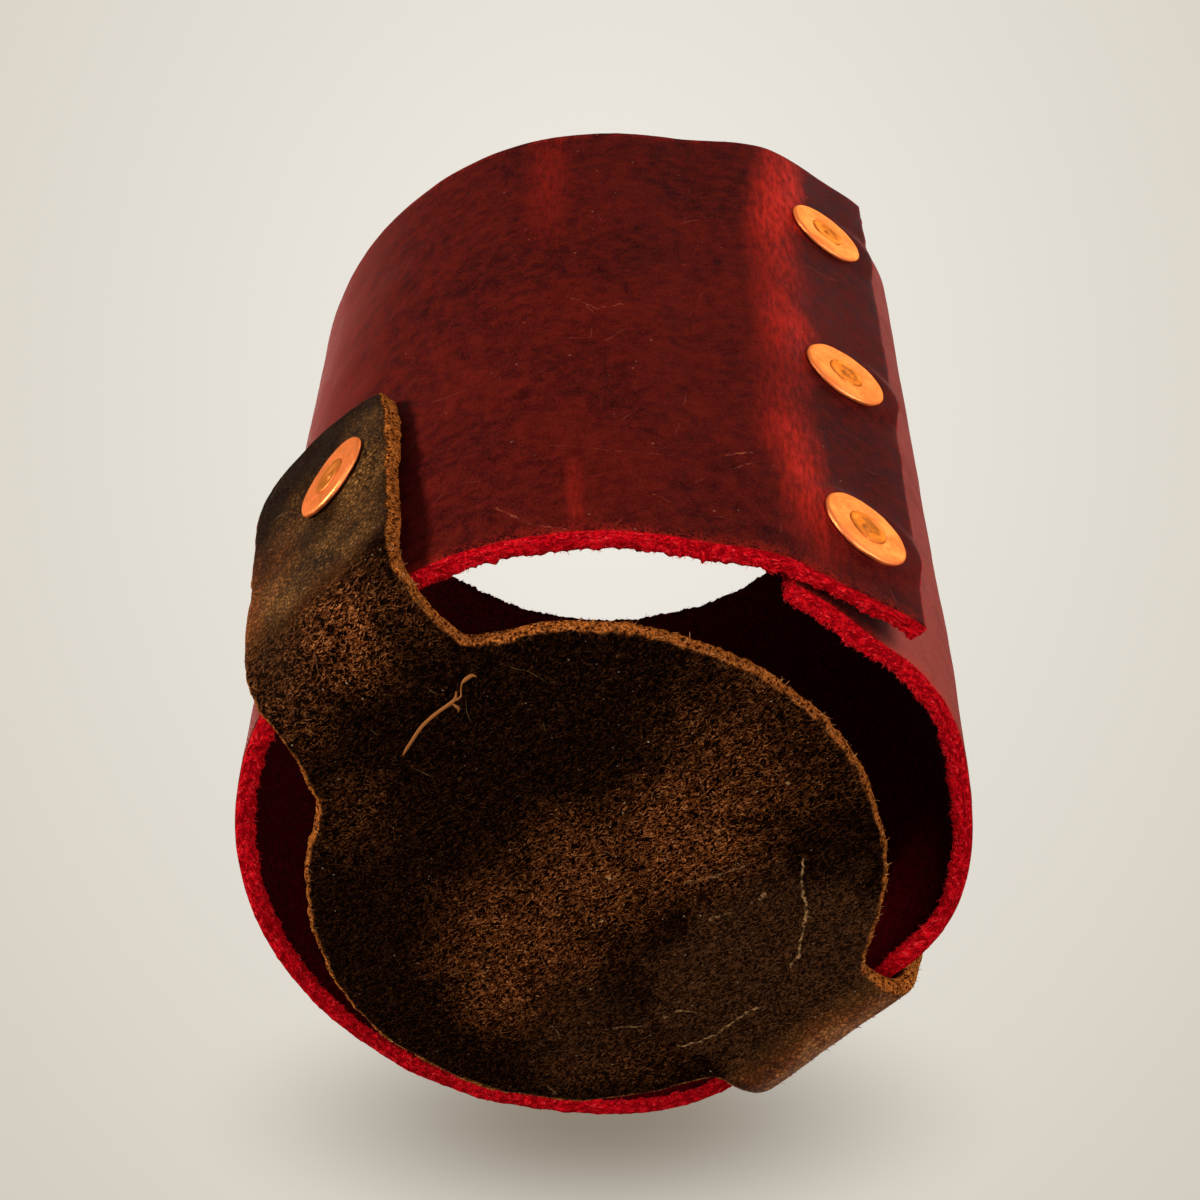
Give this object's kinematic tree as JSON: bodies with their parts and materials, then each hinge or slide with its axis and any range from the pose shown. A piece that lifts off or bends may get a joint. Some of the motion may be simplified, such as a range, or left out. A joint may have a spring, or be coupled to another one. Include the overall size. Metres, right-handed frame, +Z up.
{
  "type": "can cooler",
  "caption": "Upright leather sleeve that wraps a drinks can, closed by a riveted lap, with a leather base strap whose disc closes the bottom and whose tabs are riveted to the sides.",
  "frame": {"origin": "on the sleeve's axis, at the underside of the base strap's disc", "axes": "+Z up along the sleeve's axis to its open mouth; -Y towards the riveted lap, whose rivet line stands 5.5 degrees past -Y towards -X; the base strap's tabs rise at -X and +X"},
  "size_m": [0.0798, 0.077, 0.0971],
  "materials": {
    "red_leather": "waxed oxblood pull-up leather, worn, with bright red raw cut edges",
    "brown_leather": "oiled dark brown leather with a scuffed nap and orange-brown cut edges",
    "copper": null
  },
  "bodies": {
    "root": {"base_strap": "brown_leather", "sleeve": "red_leather", "seam_rivet_low": "copper", "seam_rivet_mid": "copper", "seam_rivet_high": "copper", "seam_burr_low": "copper", "seam_burr_mid": "copper", "seam_burr_high": "copper", "tab_rivet_left": "copper", "tab_rivet_right": "copper", "tab_burr_left": "copper", "tab_burr_right": "copper"}
  },
  "joints": []
}
